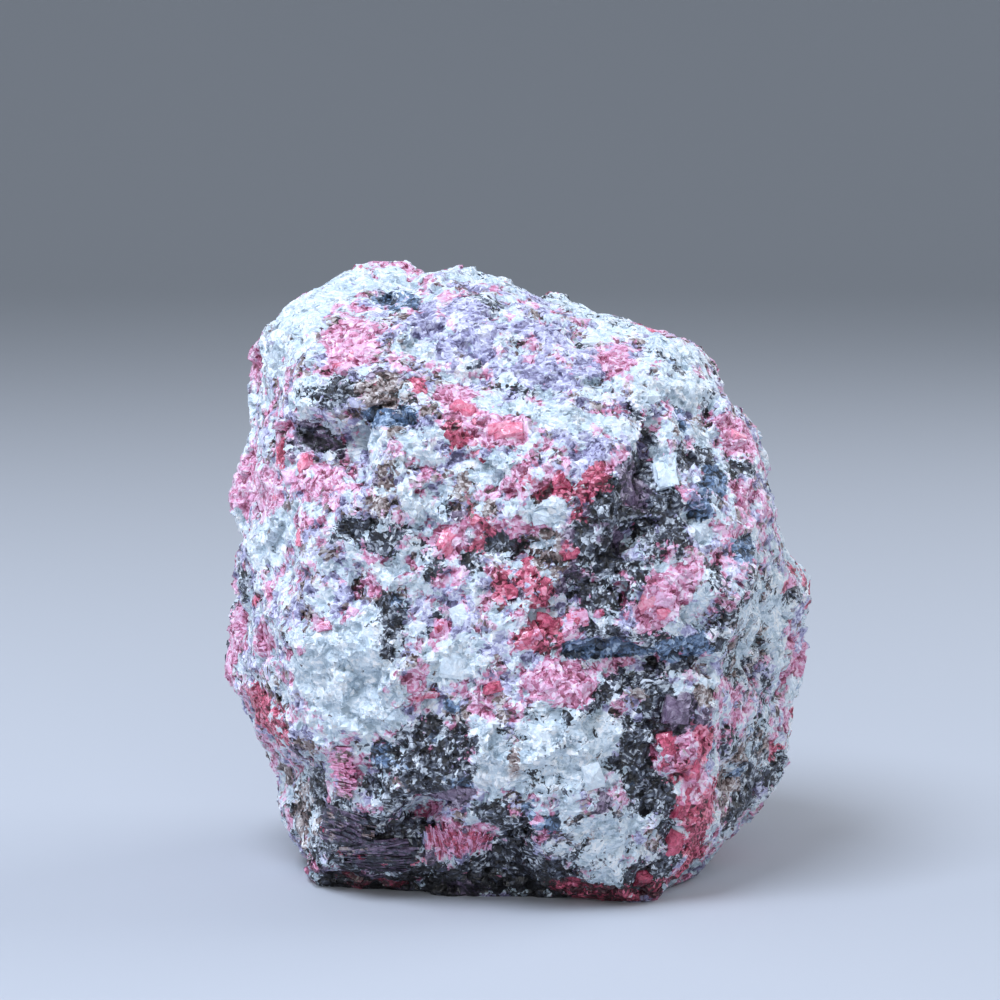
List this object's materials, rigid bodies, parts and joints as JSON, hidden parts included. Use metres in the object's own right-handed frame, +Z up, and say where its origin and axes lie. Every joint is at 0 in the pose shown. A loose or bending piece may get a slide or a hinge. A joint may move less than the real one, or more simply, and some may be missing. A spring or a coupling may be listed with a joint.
{
  "type": "rough rhodonite",
  "caption": "Hand-sized lump of broken pink, white and black rhodonite rock with flat fracture faces, ledges and pits, standing on a level broken foot.",
  "frame": {"origin": "middle of the rock's width and depth, at the level of its foot", "axes": "+Z up, +X to the right of the pictured face, -Y out of the pictured face"},
  "size_m": [0.0609, 0.0474, 0.0618],
  "materials": {
    "rhodonite_rock": "broken, granular, pink and red crystals with white and black grains"
  },
  "bodies": {
    "root": {"rhodonite": "rhodonite_rock"}
  },
  "joints": []
}
